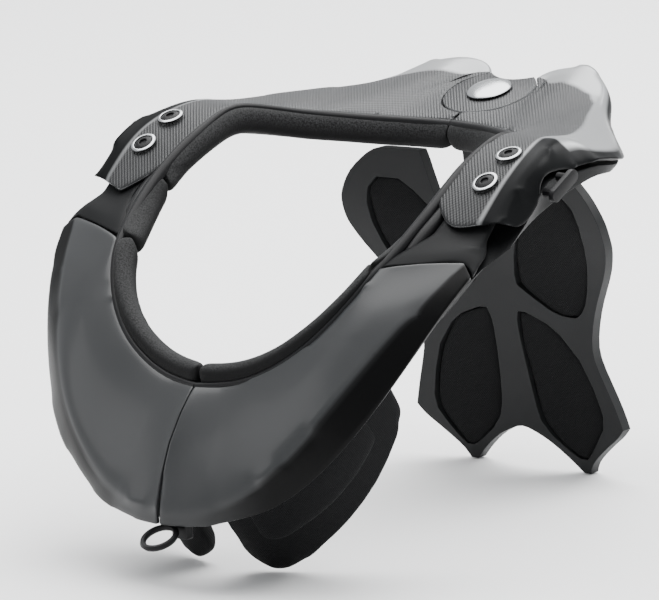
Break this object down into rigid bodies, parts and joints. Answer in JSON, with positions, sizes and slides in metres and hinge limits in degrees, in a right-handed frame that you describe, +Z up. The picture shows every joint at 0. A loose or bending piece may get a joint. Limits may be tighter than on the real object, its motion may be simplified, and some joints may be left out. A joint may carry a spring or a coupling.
{
  "type": "motocross neck brace",
  "caption": "Rigid collar brace for a rider: two hinged shell halves around the neck opening, foam collar pads, chest pads and a padded stabiliser down the back.",
  "frame": {"origin": "middle of the footprint, on the surface the brace stands on", "axes": "+Z up, -Y is the wearer's front, +X is the wearer's left"},
  "size_m": [0.2588, 0.2844, 0.1931],
  "materials": {
    "gloss_shell": "gloss",
    "matte_frame": "matte",
    "satin_shell": "satin with a fine ribbed texture",
    "pad_foam": "matte fine grain",
    "pad_textile": "matte woven",
    "black_plastic": "semi-matte",
    "bright_metal": "satin"
  },
  "bodies": {
    "hub": {"hub_cover": "satin_shell", "hub_button": "bright_metal", "hub_base": "black_plastic", "stabiliser": "matte_frame", "upper_spine_pad_left": "pad_textile", "upper_spine_pad_right": "pad_textile", "lower_spine_pad_left": "pad_textile", "lower_spine_pad_right": "pad_textile"},
    "left_half": {"front_shell_left": "gloss_shell", "front_liner_left": "black_plastic", "arm_plate_left": "matte_frame", "rear_shell_left": "satin_shell", "lower_frame_left": "matte_frame", "front_collar_pad_left": "pad_foam", "side_collar_pad_left": "pad_foam", "rear_collar_pad_left": "pad_foam", "screw_ring_front_left": "bright_metal", "screw_ring_rear_left": "bright_metal", "screw_front_left": "black_plastic", "screw_rear_left": "black_plastic", "strap_hook_left": "black_plastic", "chest_pad_left": "pad_textile", "chest_block_left": "pad_textile", "front_latch": "black_plastic", "pull_ring": "black_plastic"},
    "right_half": {"front_shell_right": "gloss_shell", "front_liner_right": "black_plastic", "arm_plate_right": "matte_frame", "rear_shell_right": "satin_shell", "lower_frame_right": "matte_frame", "front_collar_pad_right": "pad_foam", "side_collar_pad_right": "pad_foam", "rear_collar_pad_right": "pad_foam", "screw_ring_front_right": "bright_metal", "screw_ring_rear_right": "bright_metal", "screw_front_right": "black_plastic", "screw_rear_right": "black_plastic", "strap_hook_right": "black_plastic", "chest_pad_right": "pad_textile", "chest_block_right": "pad_textile"}
  },
  "joints": [
    {"name": "left_half_hinge", "type": "hinge", "parent": "hub", "child": "left_half", "pos_m": [0, 0.11411, 0.1825], "axis": [0, -0.2521, 0.9677], "range_deg": [0, 22]},
    {"name": "right_half_hinge", "type": "hinge", "parent": "hub", "child": "right_half", "pos_m": [0, 0.11411, 0.1825], "axis": [0, 0.2521, -0.9677], "range_deg": [0, 22]}
  ]
}
